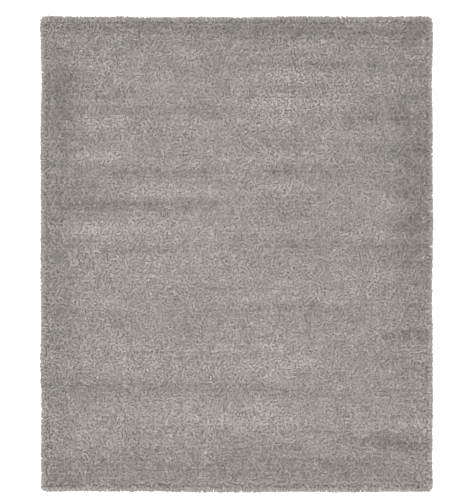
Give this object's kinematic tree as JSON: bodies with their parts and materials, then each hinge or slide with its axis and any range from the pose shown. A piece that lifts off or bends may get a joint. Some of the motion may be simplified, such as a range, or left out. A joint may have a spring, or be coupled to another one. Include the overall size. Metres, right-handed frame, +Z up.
{
  "type": "shag rug",
  "caption": "Rectangular shag rug: a flat slab of long grey pile with a lumpy top and loose locks of yarn round its rim. It lies flat on a floor.",
  "frame": {"origin": "on the floor, under the middle of the rug's outline", "axes": "+X across the rug's width, +Y along its length, which is up in the picture, and +Z up out of the pile"},
  "size_m": [2.0084, 2.4396, 0.0413],
  "materials": {
    "pile": "matt, long twisted yarn"
  },
  "bodies": {
    "root": {"shag_rug": "pile"}
  },
  "joints": []
}
